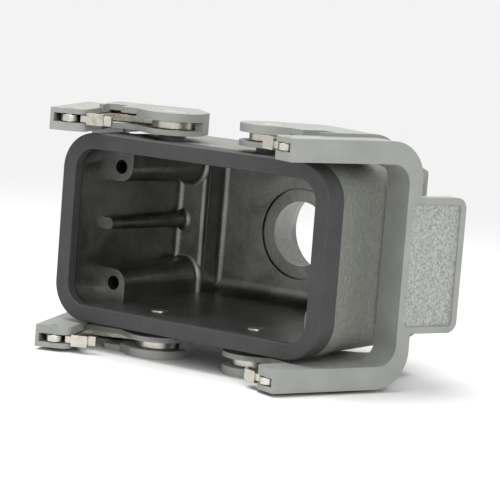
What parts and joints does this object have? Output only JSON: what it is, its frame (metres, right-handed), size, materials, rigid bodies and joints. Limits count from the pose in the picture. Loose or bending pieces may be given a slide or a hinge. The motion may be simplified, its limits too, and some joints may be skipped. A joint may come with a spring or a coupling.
{
  "type": "heavy duty rectangular connector",
  "caption": "Heavy duty rectangular connector hood with a deep rectangular cavity, rubber mating seal, threaded cable entry and swinging locking levers on its long sides.",
  "frame": {"origin": "centre of the mating face, on the seal's front plane", "axes": "+X along the long side of the mating outline, +Y from the mating face back to the cable entry, +Z across the short side; the part lies with -Z down on its lower lever plates"},
  "size_m": [0.1002, 0.0684, 0.0558],
  "materials": {
    "hood_casting": "wrinkle powder coat outside, bare die casting inside",
    "seal_rubber": "moulded matte",
    "lever_plastic": "moulded satin, sparkle grained tab panel",
    "pin_steel": "turned",
    "claw_steel": "stamped and plated",
    "roller_steel": "turned"
  },
  "bodies": {
    "housing": {"hood_body": "hood_casting", "mating_seal": "seal_rubber", "left_upper_pivot_pin": "pin_steel", "left_lower_pivot_pin": "pin_steel", "right_upper_pivot_pin": "pin_steel", "right_lower_pivot_pin": "pin_steel"},
    "left_lever": {"left_lever_bow": "lever_plastic", "left_upper_claw": "claw_steel", "left_lower_claw": "claw_steel", "left_upper_roller": "roller_steel", "left_lower_roller": "roller_steel", "left_upper_axle": "roller_steel", "left_lower_axle": "roller_steel"},
    "right_lever": {"right_lever_bow": "lever_plastic", "right_upper_claw": "claw_steel", "right_lower_claw": "claw_steel", "right_upper_roller": "roller_steel", "right_lower_roller": "roller_steel", "right_upper_axle": "roller_steel", "right_lower_axle": "roller_steel"}
  },
  "joints": [
    {"name": "left_lever_swing", "type": "hinge", "parent": "housing", "child": "left_lever", "pos_m": [-0.0135, 0.0098, 0], "axis": [0, 0, 1], "range_deg": [0, 50]},
    {"name": "right_lever_swing", "type": "hinge", "parent": "housing", "child": "right_lever", "pos_m": [0.0135, 0.0098, 0], "axis": [0, 0, 1], "range_deg": [-50, 0]}
  ]
}
